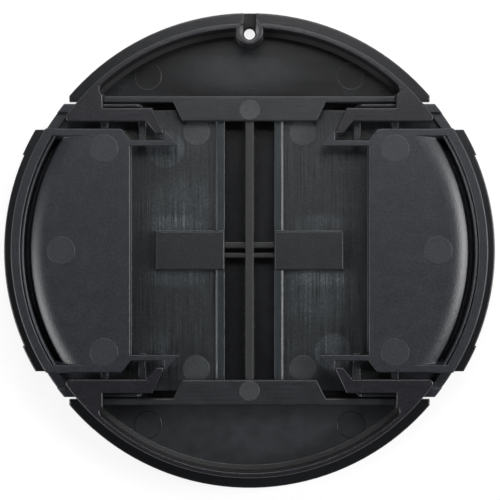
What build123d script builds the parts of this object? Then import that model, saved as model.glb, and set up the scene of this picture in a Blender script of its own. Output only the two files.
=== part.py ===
from build123d import *

import os
from math import cos, pi, radians, sin

# Front cap for a camera lens: a moulded disc with two identical sprung latches.
# Pinching the two finger wells together draws the latches in, and their threaded lips let go
# of the lens.
#
# Frame, in millimetres: the origin is the middle of the front face, on which the cap lies,
# +Z points to the lens, and +X is the way that the right latch stands out.
# Both latches are drawn at rest, pushed out by their springs until their barbs meet the hooks.

# Lens thread and disc
thread_diameter = 77.0
thread_depth = 0.41
thread_pitch = 0.75
ring_clearance = 0.09
ring_wall = 0.9
flange_overhang = 2.1
flange_height = 2.8
flange_end_cut = 0.8
flange_gap = 0.35
front_chamfer = 0.4
plate_thickness = 1.6
body_height = 7.4
edge_break = 0.15
overcut = 1.0

# Latch motion and fits
free_offset = 1.35
travel = 3.4
end_gap = 0.1
stop_gap = 0.12
slide_clearance = 0.15
side_clearance = 0.2
floor_gap = 0.2
latch_drop = 0.2

# Finger well of the latch
grip_x = 19.9
grip_wall = 1.3
well_roof = 1.4
well_half = 19.2
well_wall = 1.2
well_corner_x = 1.45
well_corner_y = 1.9
well_corner_round = 0.8
well_bevel = 0.6
roll_radius = 4.95
roll_turn = 35.0
roll_edge_width = 0.35
roll_edge_drop = 0.8
roll_draft = 0.7
ridge_pitch = 1.6
ridge_height = 0.4

# Lip that grips the lens thread, with the seam, ledge and groove behind it
lip_wall = 1.2
lip_reach = 0.05
seam_width = 0.22
seam_depth = 0.6
ledge_width = 0.35
ledge_drop = 0.12
groove_width = 0.8
groove_drop = 0.6
tail_reach = 0.1
tail_drop = 0.75
tail_pad_width = 1.55
ear_length = 4.25
ear_height = 0.25

# Guide arms on the body, with the hooks that stop the latches
arm_gap = 1.1
arm_width = 2.35
arm_thickness = 1.8
wedge_setback = 2.0
tip_round = 0.7
hook_setback = 2.08
hook_length = 2.88
hook_tip = 1.15
hook_drop = 2.0
hook_lean = 1.8

# Channel walls with the tabs that hold the tongues down, and the middle rib
rail_slot = 0.95
beam_wall = 1.15
tab_reach = 3.1
tab_gap = 1.6
tab_slant = 1.5
tab_thickness = 1.0
pocket_corner = 1.0
foot_width = 0.8
foot_height = 0.35
rib_half = 0.7
rib_height = 3.0

# Slide plate of the latch, with its tongue, rails and glides
base_thickness = 2.0
tongue_inset = 1.0
shoulder_setback = 0.3
strip_width = 1.45
strip_height = 0.5
strip_slope_width = 0.26
strip_slope_drop = 0.18
rail_width = 0.5
rail_height = 1.3
glide_width = 1.1
glide_gap = 1.3
glide_spacing = 6.35
glide_inset = 0.2

# Barbs of the latch
barb_arm_width = 0.95
barb_setback = 0.1
barb_length = 2.4
barb_catch = 0.5

# Spring, its box on the latch and its post on the body
box_length = 11.6
box_half = 3.27
box_wall = 1.0
box_roof = 0.75
trough_half = 1.7
trough_clearance = 0.12
spring_radius = 0.85
spring_wire_radius = 0.2
spring_turns = 5.5
spring_steps = 12
spring_wire_sides = 6
spring_gap = 0.05
spring_lift = 0.08
spigot_length = 1.3
spigot_clearance = 0.15
post_reach = 7.4
post_inner = 0.35
post_width = 0.9

# Cord hole in the rim
cord_hole_radius = 0.95
cord_hole_inset = 3.45
cord_well_radius = 1.65
cord_well_step = 0.1
cord_well_wall = 0.65
cord_slot_half = 1.05
cord_slot_depth = 0.8

# Radii that follow
thread_radius = thread_diameter / 2
ring_outer = thread_radius - thread_depth - ring_clearance
ring_inner = ring_outer - ring_wall
flange_radius = ring_outer + flange_overhang
lip_radius = thread_radius + lip_reach
lip_root = lip_radius - thread_depth
lip_inner = lip_root - lip_wall
tail_radius = thread_radius + tail_reach
ledge_outer = lip_inner - seam_width
ledge_inner = ledge_outer - ledge_width
roll_end = ledge_inner - groove_width
roll_knee = roll_end - roll_edge_width
roll_start = roll_knee - roll_radius * sin(radians(roll_turn))

# Half widths across the slide that follow
shell_half = well_half + well_wall
notch_half = shell_half + side_clearance
arm_inner = shell_half + arm_gap
arm_outer = arm_inner + arm_width
channel_half = arm_outer + rail_slot
flange_end = channel_half + flange_gap
beam_outer = channel_half + beam_wall
base_half = channel_half - side_clearance
tongue_half = base_half - tongue_inset
hook_tip_y = arm_inner - hook_drop
barb_arm_outer = shell_half - well_corner_y - barb_setback
barb_arm_inner = barb_arm_outer - barb_arm_width
cord_hole_y = flange_radius - cord_hole_inset

# Places along the slide that follow
band_half = grip_x - travel - side_clearance
hook_face = grip_x - travel - hook_setback
barb_stop = hook_face - stop_gap
tab_half = hook_face - tab_gap
wedge_inner = (ring_inner**2 - beam_outer**2) ** 0.5 - wedge_setback
glide_inner = grip_x - glide_gap
shoulder = glide_inner - shoulder_setback
rail_start = free_offset + (lip_inner**2 - base_half**2) ** 0.5 + lip_wall / 2
tongue_end = rib_half + travel + end_gap
box_far = tongue_end + box_length
trough_far = box_far - box_wall
far = 2 * flange_radius

# Levels that follow
arm_under = body_height - arm_thickness
base_under = plate_thickness + slide_clearance
base_top = base_under + base_thickness
strip_top = base_top + strip_height
tab_under = strip_top + slide_clearance
beam_top = tab_under + tab_thickness
glide_top = arm_under - slide_clearance
tail_top = glide_top - tail_drop
latch_top = body_height - latch_drop
well_top = latch_top - well_roof
knee_level = latch_top - roll_radius * (1 - cos(radians(roll_turn)))
roll_level = knee_level - roll_edge_drop
ledge_top = latch_top - ledge_drop
groove_floor = flange_height - groove_drop
spring_axis = plate_thickness + spring_lift + spring_radius + spring_wire_radius
trough_top = spring_axis + spring_radius + spring_wire_radius + trough_clearance
box_top = trough_top + box_roof
post_top = spring_axis + spring_radius


def block(x0, x1, y0, y1, z0, z1):
    """Box between two corners."""
    size = Box(abs(x1 - x0), abs(y1 - y0), abs(z1 - z0))
    return Pos((x0 + x1) / 2, (y0 + y1) / 2, (z0 + z1) / 2) * size


def sheet(x0, x1, y0, y1):
    """Flat rectangle between two corners."""
    return Pos((x0 + x1) / 2, (y0 + y1) / 2) * Rectangle(abs(x1 - x0), abs(y1 - y0))


def outline(*points):
    """Flat face inside a closed run of straight edges."""
    return make_face(Polyline(*points, close=True))


def prism(plan, low, high):
    """Flat plan raised from one level to another."""
    return extrude(Pos(0, 0, low) * plan, high - low)


def turned(section):
    """Section in radius and height, turned once round Z."""
    return revolve(Plane.XZ * section, Axis.Z)


def top_edges(solid):
    return solid.edges().group_by(Axis.Z)[-1]


def bottom_edges(solid):
    return solid.edges().group_by(Axis.Z)[0]


def softened(solid, size=edge_break):
    """Solid with its top edges broken."""
    return chamfer(top_edges(solid), size)


def both_sides(solid):
    """Solid with its mirror image across the XZ plane."""
    return solid + mirror(solid, Plane.XZ)


# Body


def front_disc():
    """Front plate and lens flange, cut away where the latches show at the front."""
    tip = (flange_radius**2 - flange_end**2) ** 0.5 - flange_end_cut
    flange = prism(Circle(flange_radius) & sheet(-tip, tip, flange_end, far), 0, flange_height)
    flange = softened(chamfer(bottom_edges(flange), front_chamfer))
    flange -= prism(pocket_plan(), plate_thickness, body_height)
    notch = sheet(band_half, far, -notch_half, notch_half)
    notches = notch + mirror(notch, Plane.YZ)
    disc = prism(Circle(ring_outer) - notches, 0, plate_thickness)
    return chamfer(bottom_edges(disc), front_chamfer) + both_sides(flange)


def pocket_plan():
    """Segment pocket between the ring and the channel, with round corners."""
    pocket = Circle(ring_inner) & sheet(-far, far, beam_outer, far)
    return fillet(pocket.vertices(), pocket_corner)


def pocket_foot():
    """Shallow bevel between the floor of the upper pocket and the ring."""
    foot_top = plate_thickness + foot_height
    section = outline(
        (ring_inner - foot_width, plate_thickness),
        (ring_inner, plate_thickness),
        (ring_inner, foot_top),
    )
    return turned(section) & prism(pocket_plan(), plate_thickness, foot_top)


def arm_plan():
    """One guide arm with its hook, on the right of the upper half."""
    return outline(
        (wedge_inner, arm_inner),
        (hook_face + hook_length, arm_inner),
        (hook_face + hook_tip, hook_tip_y),
        (hook_face, hook_tip_y),
        (hook_face, hook_tip_y + hook_tip / 2),
        (hook_face + hook_lean, arm_outer),
        (wedge_inner, arm_outer),
    )


def rim_plan():
    """Top of the upper half: ring, corner wedges and guide arms."""
    plan = Circle(ring_outer) & sheet(-far, far, arm_inner, far)
    plan = fillet(plan.vertices().group_by(Axis.Y)[0], tip_round)
    plan -= sheet(-wedge_inner, wedge_inner, arm_inner, beam_outer + pocket_corner)
    arm = arm_plan()
    return plan - pocket_plan() + arm + mirror(arm, Plane.YZ)


def beam():
    """Channel wall of the upper half, with the tab that holds the tongues down."""
    tab_edge = channel_half - tab_reach
    tab = outline(
        (-tab_half, channel_half),
        (tab_slant - tab_half, tab_edge),
        (tab_half - tab_slant, tab_edge),
        (tab_half, channel_half),
    )
    wall = sheet(-wedge_inner, wedge_inner, channel_half, beam_outer)
    return softened(prism(tab + wall, tab_under, beam_top))


def cord_eye():
    """Round wall about the cord hole, up to the height of the ring."""
    wall = Circle(cord_well_radius + cord_well_wall)
    return Pos(0, cord_hole_y, 0) * softened(prism(wall, plate_thickness, body_height))


def cord_cuts():
    """Hole through the plate, the well that widens behind it and the slot out through the rim."""
    above = body_height + overcut
    hole = prism(Circle(cord_hole_radius), -overcut, plate_thickness + overcut)
    well = turned(
        outline(
            (0, plate_thickness),
            (cord_hole_radius + cord_well_step, plate_thickness),
            (cord_well_radius, body_height - edge_break),
            (cord_well_radius, above),
            (0, above),
        )
    )
    slot = sheet(-cord_slot_half, cord_slot_half, 0, 2 * cord_hole_inset)
    slot = prism(slot, flange_height - cord_slot_depth, above)
    return [Pos(0, cord_hole_y, 0) * cut for cut in (hole, well, slot)]


def middle_rib():
    """Rib from beam to beam that stops the tongues, with the posts that the springs push on."""
    rib = block(-rib_half, rib_half, -beam_outer, beam_outer, plate_thickness, plate_thickness + rib_height)
    post_outer = post_inner + post_width
    post = block(-post_reach, post_reach, post_inner, post_outer, plate_thickness, post_top)
    return softened(rib) + both_sides(softened(post))


def cap_body():
    side_plan = Circle(ring_outer) & sheet(-far, far, channel_half, far)
    wall = prism(side_plan - pocket_plan(), plate_thickness, arm_under)
    wall -= prism(sheet(-wedge_inner, wedge_inner, 0, beam_outer + pocket_corner), tab_under, body_height)
    upper = wall + pocket_foot() + beam() + softened(prism(rim_plan(), arm_under, body_height))
    body = front_disc() + both_sides(upper) + cord_eye() + middle_rib()
    return body - cord_cuts()


# Latch, drawn as the right one: its lip is centred on the middle of the lens thread when fitted


def round_lip(solid, half):
    """Part of a turned solid that belongs to the latch, moved out to rest."""
    return Pos(free_offset, 0, 0) * (solid & block(0, far, -half, half, -far, far))


def slide_plate():
    """Base plate with the tongue towards the middle, and the ribs that guide it."""
    lip_disc = Pos(free_offset, 0) * Circle(tail_radius)
    plan = outline(
        (far, base_half),
        (shoulder, base_half),
        (shoulder - tongue_inset, tongue_half),
        (tongue_end, tongue_half),
        (tongue_end, -tongue_half),
        (shoulder - tongue_inset, -tongue_half),
        (shoulder, -base_half),
        (far, -base_half),
    )
    plan &= lip_disc
    plate = prism(plan, base_under, base_top)
    strip_end = tongue_end + strip_width
    strip_section = outline(
        (tongue_end, base_under),
        (tongue_end, strip_top),
        (strip_end - strip_slope_width, strip_top),
        (strip_end, strip_top - strip_slope_drop),
        (strip_end, base_under),
    )
    strip = extrude(Plane.XZ * strip_section, tongue_half, both=True)
    rail_top = base_top + rail_height
    rail = outline(
        (rail_start, base_under),
        (shoulder, base_under),
        (shoulder, rail_top - rail_width),
        (shoulder + rail_width, rail_top),
        (rail_start, rail_top),
    )
    rail = extrude(Plane.XZ.offset(-base_half) * rail, rail_width)
    glide_end = tongue_half - glide_inset
    glides = [
        block(x - glide_width, x, barb_arm_inner, glide_end, base_under, glide_top)
        for x in (glide_inner, glide_inner + glide_spacing)
    ]
    return plate + strip + both_sides(rail + glides)


def lip_tails():
    """Low ends of the lip that run under the corner wedges, with a pad at each end."""
    ring = Circle(tail_radius) - Circle(lip_inner)
    ring = Pos(free_offset, 0) * ring & sheet(0, far, 0, base_half)
    tail = softened(prism(ring, base_under, tail_top))
    pad = ring & sheet(0, far, base_half - tail_pad_width, base_half)
    return both_sides(tail + softened(prism(pad, base_under, glide_top)))


def lip():
    """Front flange and threaded lip, turned about the middle of the lens thread."""
    ridge_top = latch_top - edge_break
    ridge = thread_pitch / 2
    flange = outline(
        (roll_start, floor_gap),
        (flange_radius - front_chamfer, floor_gap),
        (flange_radius, floor_gap + front_chamfer),
        (flange_radius, flange_height - edge_break),
        (flange_radius - edge_break, flange_height),
        (roll_start, flange_height),
    )
    wall = outline(
        (lip_inner, floor_gap),
        (lip_inner, ridge_top),
        (lip_inner + edge_break, latch_top),
        (lip_radius - edge_break, latch_top),
        (lip_radius, ridge_top),
        (lip_root, ridge_top - ridge),
        (lip_radius, ridge_top - 2 * ridge),
        (lip_root, ridge_top - 3 * ridge),
        (lip_root, floor_gap),
    )
    ear_radius = flange_radius + ear_height
    ear = outline(
        (lip_inner, floor_gap + front_chamfer),
        (ear_radius, floor_gap + front_chamfer),
        (ear_radius, flange_height - edge_break),
        (ear_radius - edge_break, flange_height),
        (lip_inner, flange_height),
    )
    ears = round_lip(turned(ear), shell_half)
    ears -= block(0, far, ear_length - shell_half, shell_half - ear_length, 0, body_height)
    return round_lip(turned(flange), shell_half) + round_lip(turned(wall), shell_half) + ears


def well_shell():
    """Closed box that becomes the finger well."""
    plan = outline(
        (far, shell_half),
        (grip_x + well_corner_x, shell_half),
        (grip_x, shell_half - well_corner_y),
        (grip_x, well_corner_y - shell_half),
        (grip_x + well_corner_x, -shell_half),
        (far, -shell_half),
    )
    corners = plan.vertices().group_by(Axis.X)[0] + plan.vertices().group_by(Axis.X)[1]
    plan = fillet(corners, well_corner_round)
    plan &= Pos(free_offset, 0) * Circle(lip_inner + lip_wall / 2)
    return softened(prism(plan, floor_gap, latch_top))


def well_cavity():
    """Space for a fingertip, open at the front."""
    outer = roll_end - well_roof
    section = outline(
        (0, well_top),
        (outer - well_bevel, well_top),
        (outer, well_top - well_bevel),
        (outer, floor_gap + front_chamfer),
        (outer + front_chamfer, floor_gap),
        (outer + front_chamfer, -overcut),
        (0, -overcut),
    )
    space = round_lip(turned(section), well_half)
    return space & block(grip_x + grip_wall, far, -far, far, -far, far)


def roll_groove():
    """Seam, ledge and groove behind the lip, down the rounded outer side of the well."""
    above = latch_top + overcut
    section = make_face(
        [
            RadiusArc((roll_start, latch_top), (roll_knee, knee_level), roll_radius),
            Polyline(
                (roll_knee, knee_level),
                (roll_end, roll_level),
                (roll_end, groove_floor),
                (ledge_inner, groove_floor),
                (ledge_inner, ledge_top - edge_break),
                (ledge_inner + edge_break, ledge_top),
                (ledge_outer, ledge_top),
                (ledge_outer, ledge_top - seam_depth),
                (lip_inner, ledge_top - seam_depth),
                (lip_inner, latch_top - edge_break),
                (lip_inner + edge_break, latch_top),
                (lip_inner + edge_break, above),
                (roll_start, above),
                (roll_start, latch_top),
            ),
        ]
    )
    low_half = well_half - roll_draft
    high_half = well_half + roll_draft * overcut / (latch_top - roll_level)
    ends = outline(
        (-low_half, 0),
        (low_half, 0),
        (low_half, roll_level),
        (high_half, above),
        (-high_half, above),
        (-low_half, roll_level),
    )
    return round_lip(turned(section), far) & extrude(Plane.YZ * ends, far)


def grip_ridges():
    """Upright ridges on the wall that a finger pushes."""
    face = grip_x + grip_wall
    count = int(2 * (well_half - well_corner_y) / ridge_pitch)
    ridge = outline((face, -ridge_height), (face + ridge_height, 0), (face, ridge_height))
    ridge = prism(ridge, floor_gap + front_chamfer, well_top)
    start = -ridge_pitch * (count - 1) / 2
    return [Pos(0, start + ridge_pitch * i, 0) * ridge for i in range(count)]


def barb():
    """Springy arm whose barb snaps past the hook of a guide arm."""
    root = grip_x + grip_wall / 2
    tip = barb_stop - barb_length
    blunt = barb_arm_width / 4
    high = hook_tip_y + barb_catch
    plan = outline(
        (root, barb_arm_inner),
        (tip, barb_arm_inner),
        (tip, barb_arm_inner + blunt),
        (barb_stop - blunt, high),
        (barb_stop, high),
        (barb_stop, barb_arm_outer),
        (root, barb_arm_outer),
    )
    return softened(prism(plan, well_top, latch_top), edge_break / 2)


def spring_box():
    """Box on the tongue that closes over the spring."""
    return softened(block(tongue_end, box_far, -box_half, box_half, base_under, box_top))


def spring_trough():
    """Space for the spring, open at the front, with a slot for the post on the body."""
    trough = block(tongue_end + box_wall, trough_far, -trough_half, trough_half, 0, trough_top)
    slot_half = post_inner + post_width + side_clearance
    return trough + block(0, trough_far, -slot_half, slot_half, 0, post_top + side_clearance)


def spigot():
    """Square pin on the far wall of the trough that centres the spring."""
    half = (spring_radius - spring_wire_radius - spigot_clearance) / 2**0.5
    low = spring_axis - half
    high = spring_axis + half
    return block(trough_far - spigot_length, box_far - box_wall / 2, -half, half, low, high)


def right_latch():
    latch = slide_plate() + lip_tails() + lip() + well_shell() + both_sides(barb()) + spring_box()
    latch -= well_cavity()
    latch -= roll_groove()
    latch -= spring_trough()
    return latch + spigot() + grip_ridges()


# Spring


def right_spring():
    """Compression spring with ground ends, between the post and the far wall of the trough."""
    start = post_reach + spring_gap
    end = trough_far - spring_gap
    pitch = (end - start) / spring_turns
    steps = range(int((spring_turns + 2) * spring_steps) + 1)
    points = []
    for turns in [step / spring_steps for step in steps]:
        angle = 2 * pi * turns
        across = spring_radius * cos(angle)
        points.append((start + (turns - 1) * pitch, across, spring_axis + spring_radius * sin(angle)))
    path = Polyline(*points)
    section = (path ^ 0) * RegularPolygon(spring_wire_radius, spring_wire_sides)
    wire = sweep(section, path=path, transition=Transition.RIGHT)
    return wire & block(start, end, -far, far, -far, far)


def turned_round(solid):
    """The same piece on the left, half a turn round Z."""
    return Rot(0, 0, 180) * solid


latch = right_latch()
spring = right_spring()
pieces = {
    "cap_body": cap_body(),
    "right_latch": latch,
    "left_latch": turned_round(latch),
    "right_spring": spring,
    "left_spring": turned_round(spring),
}

os.makedirs("parts", exist_ok=True)
for name, piece in pieces.items():
    export_step(piece, f"parts/{name}.step")
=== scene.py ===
import bpy
import numpy as np
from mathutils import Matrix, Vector


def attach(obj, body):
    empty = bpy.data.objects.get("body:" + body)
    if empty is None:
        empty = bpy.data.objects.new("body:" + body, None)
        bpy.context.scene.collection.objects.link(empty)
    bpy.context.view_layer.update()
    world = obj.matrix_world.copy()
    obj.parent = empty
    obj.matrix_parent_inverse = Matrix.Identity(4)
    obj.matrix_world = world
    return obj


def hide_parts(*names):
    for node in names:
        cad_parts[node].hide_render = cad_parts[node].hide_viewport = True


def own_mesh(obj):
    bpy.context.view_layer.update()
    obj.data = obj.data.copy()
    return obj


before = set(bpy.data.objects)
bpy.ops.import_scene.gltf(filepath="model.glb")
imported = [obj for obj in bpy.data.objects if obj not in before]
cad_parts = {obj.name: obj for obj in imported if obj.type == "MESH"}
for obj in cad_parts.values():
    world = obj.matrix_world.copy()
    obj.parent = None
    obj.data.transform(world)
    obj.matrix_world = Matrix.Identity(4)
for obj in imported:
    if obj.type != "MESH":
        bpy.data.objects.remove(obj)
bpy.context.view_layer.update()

mm = 0.001  # in metres
plainWhite = (1.0, 1.0, 1.0, 1.0)
plainDetail, richDetail = 1.0, 2.0  # octaves that a noise adds to its first
noiseSpan = {"From Min": 0.3, "From Max": 0.7, "To Min": -1.0, "To Max": 1.0}  # spreads a noise
print("frame:", ", ".join(sorted(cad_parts)))


# sRGB hex to linear colour, by the sRGB curve, with full alpha
def linear(hexColour):
    srgb = np.array([int(hexColour[i:i + 2], 16) for i in (1, 3, 5)]) / 255
    return (*np.where(srgb <= 0.04045, srgb / 12.92, ((srgb + 0.055) / 1.055) ** 2.4), 1.0)


# one node: settings are its properties, and sockets hold a number or colour,
# or the output that feeds them
def addNode(tree, kind, sockets=None, **settings):
    node = tree.nodes.new(kind)
    for name, value in settings.items():
        setattr(node, name, value)
    for socket, value in (sockets or {}).items():
        if isinstance(value, bpy.types.NodeSocket):
            tree.links.new(value, node.inputs[socket])
        else:
            node.inputs[socket].default_value = value
    return node


def emptyMaterial(name):
    material = bpy.data.materials.new(name)
    material.use_nodes = True
    material.node_tree.nodes.clear()
    return material, material.node_tree


# a ramp's stops (position, colour), the first at its start: each holds up to the next
def setStops(ramp, stops):
    ramp.interpolation = "CONSTANT"
    ramp.elements.remove(ramp.elements[1])
    ramp.elements[0].color = stops[0][1]
    for position, colour in stops[1:]:
        ramp.elements.new(position).color = colour


# closed skins: grids[k, row, column] wraps round along its columns,
# and a pole closes each end of its rows
def closedSkins(name, grids, poles):
    count, rows, columns = grids.shape[:3]
    points = rows * columns + 2  # in one skin, its two poles last
    verts = np.concatenate([grids.reshape(count, -1, 3), poles], axis=1)
    ring = np.arange(columns)
    following = (ring + 1) % columns
    start = np.arange(rows - 1)[:, None] * columns
    quads = np.stack([start + ring, start + following,
                      start + columns + following, start + columns + ring], axis=-1).reshape(-1, 4)
    last = (rows - 1) * columns
    fans = np.concatenate([
        np.stack([following, ring, np.full(columns, points - 2)], axis=-1),
        np.stack([last + ring, last + following, np.full(columns, points - 1)], axis=-1)])
    triangles = np.concatenate([quads[:, [0, 1, 2]], quads[:, [0, 2, 3]], fans])
    corners = verts[0][triangles]
    volume = np.einsum("ij,ij->", corners[:, 0], np.cross(corners[:, 1], corners[:, 2]))
    if volume < 0:  # inside out, so the faces turn round
        quads, fans = quads[:, ::-1], fans[:, ::-1]
    offsets = (np.arange(count) * points)[:, None, None]
    faces = (quads + offsets).reshape(-1, 4).tolist() + (fans + offsets).reshape(-1, 3).tolist()
    mesh = bpy.data.meshes.new(name)
    mesh.from_pydata(verts.reshape(-1, 3), [], faces)
    mesh.polygons.foreach_set("use_smooth", np.ones(len(faces), bool))
    mesh.update()
    piece = bpy.data.objects.new(name, mesh)
    bpy.context.scene.collection.objects.link(piece)
    return piece


# studio: a pale table, a soft tent of light and a camera straight above
studio = {
    "cameraPlace": (0.084, 0.084, 400.0),  # mm, over the middle of the cap
    "lens": 169.4,  # mm
    "sensor": 36.0,  # mm
    "clip": (0.01, 20.0),  # m
    "tentLight": (0.22, 0.03),  # at the horizon, and overhead where the camera looks in
    "floorHalf": 3.0,  # m
    "floorLow": 0.02,  # mm under the cap, so that two faces don't share a plane
    "floorGlow": 0.84,  # white that the camera sees whatever the light
    "floorGrey": 0.17,  # what the lamps add to it, less in shadow
    "floorCard": "#eeeeee",  # the card's colour, as it lights the cap
}

# azimuth from +X towards +Y and elevation in degrees, distance and size in m, power in W
lamps = {
    "topSoftbox": {"azimuth": 83, "elevation": 51, "distance": 0.18,
                   "size": (0.13, 0.1), "power": 0.225},
    "rightStrip": {"azimuth": 2, "elevation": 32, "distance": 0.4,
                   "size": (0.2, 0.14), "power": 1.55},
    "leftSoftbox": {"azimuth": 199, "elevation": 30, "distance": 0.4,
                    "size": (0.22, 0.16), "power": 1.1},
}

scene = bpy.context.scene
scene.view_settings.view_transform = "Standard"

lens = bpy.data.cameras.new("camera")
lens.sensor_width, lens.lens = studio["sensor"], studio["lens"]
lens.clip_start, lens.clip_end = studio["clip"]
camera = bpy.data.objects.new("camera", lens)
camera.location = Vector(studio["cameraPlace"]) * mm
scene.collection.objects.link(camera)
scene.camera = camera

world = bpy.data.worlds.new("lightTent")
world.use_nodes = True
tree = world.node_tree
tree.nodes.clear()
ray = addNode(tree, "ShaderNodeTexCoord").outputs["Generated"]
skyward = addNode(tree, "ShaderNodeSeparateXYZ", {0: ray}).outputs["Z"]
horizon, overhead = studio["tentLight"]
strength = addNode(tree, "ShaderNodeMapRange",
                   {"Value": skyward, "To Min": horizon, "To Max": overhead})
tent = addNode(tree, "ShaderNodeBackground",
               {"Color": plainWhite, "Strength": strength.outputs[0]})
addNode(tree, "ShaderNodeOutputWorld", {"Surface": tent.outputs[0]})
scene.world = world

for name, lamp in lamps.items():
    light = bpy.data.lights.new(name, "AREA")
    light.shape, light.energy = "RECTANGLE", lamp["power"]
    light.size, light.size_y = lamp["size"]
    turn, lift = np.radians(lamp["azimuth"]), np.radians(lamp["elevation"])
    away = Vector((np.cos(turn) * np.cos(lift), np.sin(turn) * np.cos(lift), np.sin(lift)))
    box = bpy.data.objects.new(name, light)
    box.location = away * lamp["distance"]
    box.rotation_euler = away.to_track_quat("Z", "Y").to_euler()
    box.visible_camera = False  # out of shot in every view
    scene.collection.objects.link(box)

# matt white table card: an even white under the camera that still takes the cap's shadow
floorWhite, tree = emptyMaterial("matt white table card")
path = addNode(tree, "ShaderNodeLightPath")
seen = addNode(tree, "ShaderNodeMath", {0: path.outputs["Is Camera Ray"],
                                        1: path.outputs["Is Glossy Ray"]}, operation="MAXIMUM")
seen = addNode(tree, "ShaderNodeMath", {0: seen.outputs[0],
                                        1: path.outputs["Is Transmission Ray"]}, operation="MAXIMUM")
shade = addNode(tree, "ShaderNodeBsdfDiffuse", {"Color": (*[studio["floorGrey"]] * 3, 1)})
glow = addNode(tree, "ShaderNodeEmission", {"Color": plainWhite, "Strength": studio["floorGlow"]})
white = addNode(tree, "ShaderNodeAddShader", {0: shade.outputs[0], 1: glow.outputs[0]})
card = addNode(tree, "ShaderNodeBsdfDiffuse", {"Color": linear(studio["floorCard"])})
mixed = addNode(tree, "ShaderNodeMixShader",
                {0: seen.outputs[0], 1: card.outputs[0], 2: white.outputs[0]})
addNode(tree, "ShaderNodeOutputMaterial", {"Surface": mixed.outputs[0]})

floorMesh = bpy.data.meshes.new("floor")
corners = studio["floorHalf"] * np.array([[-1, -1], [1, -1], [1, 1], [-1, 1]])
lowered = np.full(len(corners), -studio["floorLow"] * mm)
floorMesh.from_pydata(np.column_stack([corners, lowered]), [], [(0, 1, 2, 3)])
floor = bpy.data.objects.new("floor", floorMesh)
floor.data.materials.append(floorWhite)
scene.collection.objects.link(floor)
print("studio: camera,", len(lamps), "lamps, tent light and floor")


# moulded ABS: near-black, with a dull sheen that shows every change in the mould's finish

# levels: height in mm from which a finish holds, its colour, its roughness and its shares of
# (column lines along Y, row lines along X, spark-eroded grain)
# painted light: paler or darker spots that stand in for sheen and shade on the faces whose height is
# in the band after them, some over real sink marks: x, y, reach in x and y in mm, gain, and the
# share of the reach at full gain
# rim: past a radius, the faces in a band of heights have the finish of another height, in mm
bodyFinish = {
    "name": "black ABS, moulded body",
    "levels": [
        (0.0, "#222429", 0.5, (0.0, 0.0, 1.0)),  # front
        (1.45, "#1f2022", 0.27, (0.0, 0.05, 0.1)),  # slot and pocket floors, polished mould
        (1.62, "#0c0d0f", 0.7, (0.0, 0.0, 0.6)),  # low walls and the pockets' feet; their near-black tone is painted shade
        (2.65, "#17181b", 0.28, (0.0, 0.3, 0.4)),  # flange, polished mould
        (2.95, "#111214", 0.62, (0.0, 0.0, 0.6)),  # walls, rib and spring posts; their near-black tone is painted shade
        (5.2, "#212225", 0.35, (0.0, 0.4, 0.5)),  # beams and tabs, milled along X
        (5.55, "#18181d", 0.34, (0.0, 0.2, 1.0)),  # arms and ring, spark eroded
    ],
    "paintedSheenAndShade": [
        (0.0, 33.0, 27.0, 9.0, 0.38, 0.75),  # painted shade: the top pocket darker at its sides
        (-1.5, 30.2, 14.0, 5.2, 4.0, 0.2),  # painted sheen: its middle paler
        (1.5, -30.5, 26.0, 8.0, 1.9, 0.75),  # painted light: the bottom pocket paler
        (4.2, 0.0, 3.6, 24.0, 1.45, 0.6),  # painted sheen: the slot right of the rib paler
    ],
    "paintedLightBand": (1.45, 1.62),  # mm
    "rim": {"radius": 36.5, "band": (2.95, 5.55), "finishOf": 5.6},
    "turned": False,
}
latchFinish = {
    "name": "black ABS, moulded latch",
    "levels": [
        (0.0, "#222429", 0.5, (0.0, 0.0, 1.0)),  # underside
        (2.6, "#131417", 0.34, (0.0, 0.0, 0.4)),  # flange, polished mould
        (2.95, "#1d2022", 0.38, (1.0, 0.0, 1.0)),  # tongues, milled along Y
        (3.9, "#1f2528", 0.36, (0.5, 0.0, 0.8)),  # strips at the tongues' ends
        (4.5, "#191b1e", 0.4, (0.0, 0.2, 1.0)),  # spring box tops
        (4.8, "#1f2126", 0.4, (0.0, 0.0, 1.0)),  # finger plates, lips and barbs
    ],
    "paintedSheenAndShade": [
        (12.3, 4.3, 7.0, 2.4, 1.7, 0.4),  # paler beside the spring box: painted sheen over a sink mark
        (12.3, -4.3, 7.0, 2.2, 1.8, 0.4),
        (12.0, -7.5, 8.5, 6.5, 1.7, 0.3),
        (14.1, -17.1, 3.4, 3.4, 2.0, 0.85),  # paler beside the barbs: painted sheen
        (15.5, 15.5, 3.0, 3.0, 1.4, 0.35),
        (18.4, 0.0, 2.8, 3.6, 0.75, 0.5),  # painted shade by the edge of the finger plate, under its wall
        (20.0, 0.0, 3.2, 40.0, 0.65, 0.3),
    ],
    "paintedLightBand": (2.95, 3.9),  # mm
    "rim": {"radius": 34.0, "band": (2.95, 4.8), "finishOf": 4.9},
    "turned": True,  # the left latch carries its patches turned half round
}
absLook = {
    "ior": 1.53,
    "topHeight": 8.0,  # mm, the height that the level ramps span
    "grainSize": 0.28,  # mm: the real grain is near 0.06, too fine for the render
    "grainDepth": 0.006,  # mm
    "grainTone": 0.4,  # share of the colour
    "lineSize": (0.2, 12.0),  # mm across and along: real cutter lines are near 0.05 across
    "lineDepth": 0.0025,  # mm
    "lineTone": 0.52,  # share of the colour
    "wearSize": 4.0,  # mm, spots where the lines are strong or worn away
    "wearSpan": {"From Min": 0.35, "From Max": 0.65, "To Min": 0.3, "To Max": 1.5},
    "waveSize": (9.0, 1.3, 1.3),  # mm, slow waves that polishing leaves on the low floors
    "waveDepth": 0.012,  # mm
    "waveBand": (1.45, 1.75),  # mm, heights of the faces that show the waves
    "edgeRadius": 0.22,  # mm, the rounding that a mould leaves on every edge
    "edgeSamples": 8,
    "mottleSize": 2.2,  # mm, clouds in the pigment
    "mottleTone": 0.14,  # share of the colour
}


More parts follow.
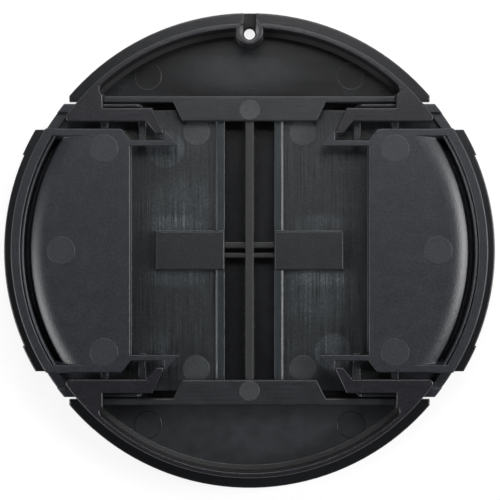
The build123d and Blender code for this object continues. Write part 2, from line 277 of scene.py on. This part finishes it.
def mouldedAbs(finish, look):
    material, tree = emptyMaterial(finish["name"])
    place = addNode(tree, "ShaderNodeTexCoord").outputs["Object"]
    apart = addNode(tree, "ShaderNodeSeparateXYZ", {0: place})
    height = apart.outputs["Z"]
    rim = finish["rim"]
    inWaves, inPaintedLight, inRim = (
        addNode(tree, "ShaderNodeMath",
                {0: height, 1: (low + high) / 2 * mm, 2: (high - low) / 2 * mm},
                operation="COMPARE").outputs[0]
        for low, high in (look["waveBand"], finish["paintedLightBand"], rim["band"]))

    # levels: stepped ramps over a face's own height, or over the one that the rim borrows
    flat = addNode(tree, "ShaderNodeVectorMath", {0: place, 1: (1, 1, 0)}, operation="MULTIPLY")
    radius = addNode(tree, "ShaderNodeVectorMath", {0: flat.outputs[0]}, operation="LENGTH")
    outside = addNode(tree, "ShaderNodeMath", {0: radius.outputs["Value"], 1: rim["radius"] * mm},
                      operation="GREATER_THAN")
    onRim = addNode(tree, "ShaderNodeMath", {0: outside.outputs[0], 1: inRim},
                    operation="MULTIPLY")
    rise = addNode(tree, "ShaderNodeMath", {0: rim["finishOf"] * mm, 1: height},
                   operation="SUBTRACT")
    level = addNode(tree, "ShaderNodeMath", {0: onRim.outputs[0], 1: rise.outputs[0], 2: height},
                    operation="MULTIPLY_ADD")
    step = addNode(tree, "ShaderNodeMapRange",
                   {"Value": level.outputs[0], "From Max": look["topHeight"] * mm})
    tones = addNode(tree, "ShaderNodeValToRGB", {"Fac": step.outputs[0]})
    setStops(tones.color_ramp, [(low / look["topHeight"], linear(tone))
                                for low, tone, _, _ in finish["levels"]])
    shares = addNode(tree, "ShaderNodeValToRGB", {"Fac": step.outputs[0]})  # alpha is roughness
    setStops(shares.color_ramp, [(low / look["topHeight"], (*share, rough))
                                 for low, _, rough, share in finish["levels"]])
    weights = addNode(tree, "ShaderNodeSeparateColor", {"Color": shares.outputs["Color"]})

    # cutter lines: a noise drawn out along one axis, strong in some spots and worn in others
    across, along = (1 / (size * mm) for size in look["lineSize"])
    wear = addNode(tree, "ShaderNodeTexNoise", {
        "Vector": place, "Scale": 1 / (look["wearSize"] * mm), "Detail": plainDetail})
    wear = addNode(tree, "ShaderNodeMapRange", {"Value": wear.outputs["Fac"], **look["wearSpan"]})
    lines = 0.0
    for scale, share in (((across, along, across), "Red"), ((along, across, across), "Green")):
        drawn = addNode(tree, "ShaderNodeMapping", {"Vector": place, "Scale": scale})
        noise = addNode(tree, "ShaderNodeTexNoise", {
            "Vector": drawn.outputs[0], "Scale": 1.0, "Detail": plainDetail})
        noise = addNode(tree, "ShaderNodeMapRange", {"Value": noise.outputs["Fac"], **noiseSpan})
        strength = addNode(tree, "ShaderNodeMath", {0: weights.outputs[share], 1: wear.outputs[0]},
                           operation="MULTIPLY")
        lines = addNode(tree, "ShaderNodeMath",
                        {0: noise.outputs[0], 1: strength.outputs[0], 2: lines},
                        operation="MULTIPLY_ADD").outputs[0]

    # spark-eroded grain, polishing waves and rounded edges
    grain = addNode(tree, "ShaderNodeTexNoise", {
        "Vector": place, "Scale": 1 / (look["grainSize"] * mm), "Detail": richDetail})
    grain = addNode(tree, "ShaderNodeMapRange", {"Value": grain.outputs["Fac"], **noiseSpan})
    grain = addNode(tree, "ShaderNodeMath", {0: grain.outputs[0], 1: weights.outputs["Blue"]},
                    operation="MULTIPLY").outputs[0]
    waves = addNode(tree, "ShaderNodeMapping", {
        "Vector": place, "Scale": tuple(1 / (size * mm) for size in look["waveSize"])})
    waves = addNode(tree, "ShaderNodeTexNoise", {
        "Vector": waves.outputs[0], "Scale": 1.0, "Detail": plainDetail})
    waves = addNode(tree, "ShaderNodeMath", {0: waves.outputs["Fac"], 1: inWaves},
                    operation="MULTIPLY").outputs[0]
    normal = addNode(tree, "ShaderNodeBevel", {"Radius": look["edgeRadius"] * mm},
                     samples=look["edgeSamples"])
    for relief, depth in ((waves, "waveDepth"), (lines, "lineDepth"), (grain, "grainDepth")):
        normal = addNode(tree, "ShaderNodeBump", {
            "Height": relief, "Strength": 1.0, "Distance": look[depth] * mm,
            "Normal": normal.outputs[0]})

    # colour: the level's tone, uneven with the pigment's clouds, the lines and the grain
    cloud = addNode(tree, "ShaderNodeTexNoise", {
        "Vector": place, "Scale": 1 / (look["mottleSize"] * mm), "Detail": richDetail})
    cloud = addNode(tree, "ShaderNodeMapRange", {"Value": cloud.outputs["Fac"], **noiseSpan})
    gain = 1.0
    for pattern, tone in ((cloud.outputs[0], "mottleTone"), (lines, "lineTone"),
                          (grain, "grainTone")):
        factor = addNode(tree, "ShaderNodeMath", {0: pattern, 1: look[tone], 2: 1.0},
                         operation="MULTIPLY_ADD")
        gain = addNode(tree, "ShaderNodeMath", {0: factor.outputs[0], 1: gain},
                       operation="MULTIPLY").outputs[0]

    # painted sheen and shade: an ellipse each, full in the middle and fading smoothly to nothing at
    # its reach
    own = place
    if finish["turned"]:
        facing = addNode(tree, "ShaderNodeMath", {0: apart.outputs["X"]}, operation="SIGN")
        own = addNode(tree, "ShaderNodeVectorMath", {0: place, 1: facing.outputs[0]},
                      operation="MULTIPLY").outputs[0]
    for x, y, reachX, reachY, paintedGain, full in finish["paintedSheenAndShade"]:
        spot = addNode(tree, "ShaderNodeMapping", {
            "Vector": own, "Location": (-x / reachX, -y / reachY, 0),
            "Scale": (1 / (reachX * mm), 1 / (reachY * mm), 0)})
        away = addNode(tree, "ShaderNodeVectorMath", {0: spot.outputs[0]}, operation="LENGTH")
        near = addNode(tree, "ShaderNodeMapRange", {
            "Value": away.outputs["Value"], "From Min": full, "From Max": 1.0,
            "To Min": paintedGain - 1, "To Max": 0.0}, interpolation_type="SMOOTHSTEP")
        factor = addNode(tree, "ShaderNodeMath", {0: near.outputs[0], 1: inPaintedLight, 2: 1.0},
                         operation="MULTIPLY_ADD")
        gain = addNode(tree, "ShaderNodeMath", {0: gain, 1: factor.outputs[0]},
                       operation="MULTIPLY").outputs[0]
    colour = addNode(tree, "ShaderNodeVectorMath", {0: tones.outputs["Color"], 1: gain},
                     operation="MULTIPLY")
    skin = addNode(tree, "ShaderNodeBsdfPrincipled", {
        "Base Color": colour.outputs[0], "Roughness": shares.outputs["Alpha"],
        "IOR": look["ior"], "Normal": normal.outputs[0]})
    addNode(tree, "ShaderNodeOutputMaterial", {"Surface": skin.outputs[0]})
    return material


bodyAbs = mouldedAbs(bodyFinish, absLook)
latchAbs = mouldedAbs(latchFinish, absLook)
for node, material in (("cap_body", bodyAbs), ("right_latch", latchAbs), ("left_latch", latchAbs)):
    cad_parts[node].material_slots[0].material = material
print("materials: moulded ABS on the body and both latches")


# ejector pin marks: where the pins pushed the mouldings out,
# faint discs with a low burr round the edge
pinMarks = {
    "columns": 48,
    "burr": 0.035,  # mm, height of the rim
    "face": 0.02,  # mm, height of the disc inside it
    "burrWidth": 0.22,  # mm
    "sunk": 0.05,  # mm that the skin goes down into the moulding
    # from the rim inwards: distance in burr widths, and shares of sunk, burr and face
    "profile": [(0.0, -1.0, 0.0, 0.0), (0.0, 0.0, 0.0, 0.0), (0.3, 0.0, 0.8, 0.0),
                (0.6, 0.0, 1.0, 0.0), (1.0, 0.0, 0.0, 1.2), (1.8, 0.0, 0.0, 1.0)],
    # x, y, height of the moulding's face there and radius, all in mm, and the shares of burr
    # and disc: in the pockets the disc lies under the face, so that only its burr is seen
    "bodyMarks": [(x, y, 1.6, 2.35, 0.3, -1.0) for x in (-17.2, 17.2) for y in (-29.5, 29.5)]
                 + [(0.0, y, 5.4, 1.7, 1.0, 1.0) for y in (-23.57, 23.57)],
    "latchMarks": [(24.3, -17.0, 7.2, 2.35, 0.3, 0.5), (24.3, 17.0, 7.2, 2.35, 0.3, 0.5),
                   (31.49, 0.0, 7.2, 2.35, 0.4, 0.5),
                   (9.0, -19.9, 3.75, 2.27, 0.3, 0.5), (9.0, 19.9, 3.75, 2.27, 0.3, 0.5)],
    # height in mm from which a tone and a roughness hold
    "levels": [
        (0.0, "#18191b", 0.3),  # pocket floors
        (3.0, "#2b2e30", 0.45),  # tongues
        (5.2, "#2c2d30", 0.48),  # beams
        (6.5, "#25272b", 0.43),  # finger plates
    ],
    "speckSize": 0.35,  # mm: drawn coarser than the real 0.1
    "speckDepth": 0.022,  # mm
    "speckSpan": {"From Min": 0.35, "From Max": 0.65, "To Min": 0.85, "To Max": 1.2},
}


# discs of revolution: a profile (distance from the axis, height) turned round each mark's axis
def markSkins(name, marks):
    places, shares = np.split(np.array(marks), [4], axis=1)
    places = places * mm
    scales = np.array([pinMarks[key] for key in ("burrWidth", "sunk", "burr", "face")]) * mm
    inward, sunk, burr, face = (np.array(pinMarks["profile"]) * scales).T
    heights = sunk + shares[:, :1] * burr + shares[:, 1:] * face
    turn = np.linspace(0, 2 * np.pi, pinMarks["columns"], endpoint=False)
    reach = places[:, 3, None] - inward
    grids = np.empty((len(places), len(inward), len(turn), 3))
    grids[..., 0] = places[:, 0, None, None] + reach[:, :, None] * np.cos(turn)
    grids[..., 1] = places[:, 1, None, None] + reach[:, :, None] * np.sin(turn)
    grids[..., 2] = (places[:, 2, None] + heights)[:, :, None]
    poles = np.repeat(places[:, None, :3], 2, axis=1)
    poles[:, :, 2] += heights[:, [0, -1]]
    return closedSkins(name, grids, poles)


# pin-faced ABS: a touch paler and duller than its surroundings, and speckled
pinAbs, tree = emptyMaterial("black ABS, pin-faced")
place = addNode(tree, "ShaderNodeTexCoord").outputs["Object"]
specks = addNode(tree, "ShaderNodeTexNoise", {
    "Vector": place, "Scale": 1 / (pinMarks["speckSize"] * mm), "Detail": richDetail})
gain = addNode(tree, "ShaderNodeMapRange",
               {"Value": specks.outputs["Fac"], **pinMarks["speckSpan"]})
height = addNode(tree, "ShaderNodeSeparateXYZ", {0: place}).outputs["Z"]
step = addNode(tree, "ShaderNodeMapRange",
               {"Value": height, "From Max": absLook["topHeight"] * mm})
tones = addNode(tree, "ShaderNodeValToRGB", {"Fac": step.outputs[0]})  # alpha is roughness
setStops(tones.color_ramp, [(low / absLook["topHeight"], (*linear(tone)[:3], rough))
                            for low, tone, rough in pinMarks["levels"]])
colour = addNode(tree, "ShaderNodeVectorMath", {0: tones.outputs["Color"], 1: gain.outputs[0]},
                 operation="MULTIPLY")
bumps = addNode(tree, "ShaderNodeBump", {
    "Height": specks.outputs["Fac"], "Strength": 1.0, "Distance": pinMarks["speckDepth"] * mm})
skin = addNode(tree, "ShaderNodeBsdfPrincipled", {
    "Base Color": colour.outputs[0], "Roughness": tones.outputs["Alpha"],
    "IOR": absLook["ior"], "Normal": bumps.outputs[0]})
addNode(tree, "ShaderNodeOutputMaterial", {"Surface": skin.outputs[0]})

# the left latch is the right one turned half round
turnedMarks = [(-x, -y, *rest) for x, y, *rest in pinMarks["latchMarks"]]
for name, marks, body, slot in (
        ("body_pin_marks", pinMarks["bodyMarks"], "body", "body_plastic"),
        ("right_pin_marks", pinMarks["latchMarks"], "right_latch", "latch_plastic"),
        ("left_pin_marks", turnedMarks, "left_latch", "latch_plastic")):
    piece = markSkins(name, marks)
    piece.data.materials.append(pinAbs)
    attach(piece, body)
print("pin marks:", len(pinMarks["bodyMarks"]) + 2 * len(pinMarks["latchMarks"]))


# springs under the boxes
coil = {
    "near": 7.45, "far": 14.75,  # mm along X
    "axisHeight": 2.73,  # mm
    "coilRadius": 0.85, "wireRadius": 0.2,  # mm
    "turns": 7.5, "closedTurns": 1.0,  # in all, and closed at each end
    "stepsPerTurn": 28, "wireSides": 12,
    "pressed": 0.534,  # share of its length that is left when the latch is fully in
    "steel": "#b9bbbe",
    "roughness": (0.2, 0.4),
    "spotSize": 0.3,  # mm
}

# drawn stainless wire: bright grey metal, in spots a little duller
springSteel, tree = emptyMaterial("stainless steel, drawn wire")
place = addNode(tree, "ShaderNodeTexCoord").outputs["Object"]
spots = addNode(tree, "ShaderNodeTexNoise", {
    "Vector": place, "Scale": 1 / (coil["spotSize"] * mm), "Detail": richDetail})
bright, dull = coil["roughness"]
roughness = addNode(tree, "ShaderNodeMapRange",
                    {"Value": spots.outputs["Fac"], "To Min": bright, "To Max": dull})
skin = addNode(tree, "ShaderNodeBsdfPrincipled", {
    "Base Color": linear(coil["steel"]), "Metallic": 1.0, "Roughness": roughness.outputs[0]})
addNode(tree, "ShaderNodeOutputMaterial", {"Surface": skin.outputs[0]})


# wire skin: a circle of the wire's radius carried along a helix,
# whose pitch is one wire in the closed turns and even between them
def springSkin(name, sideways):
    turns, closedTurns, wireRadius = coil["turns"], coil["closedTurns"], coil["wireRadius"]
    steps = np.linspace(0, turns, int(turns * coil["stepsPerTurn"]) + 1)
    length = coil["far"] - coil["near"] - 2 * wireRadius
    closed = closedTurns * 2 * wireRadius
    travel = np.interp(steps, [0, closedTurns, turns - closedTurns, turns],
                       [0, closed, length - closed, length])
    turn = 2 * np.pi * steps
    outward = np.stack([np.zeros_like(turn), np.cos(turn), np.sin(turn)], axis=-1)
    path = coil["coilRadius"] * outward
    path[:, 0] = travel + coil["near"] + wireRadius
    ahead = np.gradient(path, axis=0)
    ahead /= np.linalg.norm(ahead, axis=1, keepdims=True)
    beside = np.cross(ahead, outward)
    around = np.linspace(0, 2 * np.pi, coil["wireSides"], endpoint=False)[:, None]
    grid = path[:, None] + wireRadius * (np.cos(around) * outward[:, None]
                                         + np.sin(around) * beside[:, None])
    poles = np.stack([path[0], path[-1]])
    for points in (grid, poles):
        points[..., :2] *= sideways  # half a turn round Z for the left spring
        points[..., 2] += coil["axisHeight"]
    return closedSkins(name, grid[None] * mm, poles[None] * mm)


for side, sideways in (("right", 1), ("left", -1)):
    piece = springSkin(f"{side}_coil", sideways)
    piece.data.materials.append(springSteel)
    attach(piece, "body")
    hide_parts(f"{side}_spring")
    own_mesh(piece)
print("springs:", coil["turns"], "turns each")
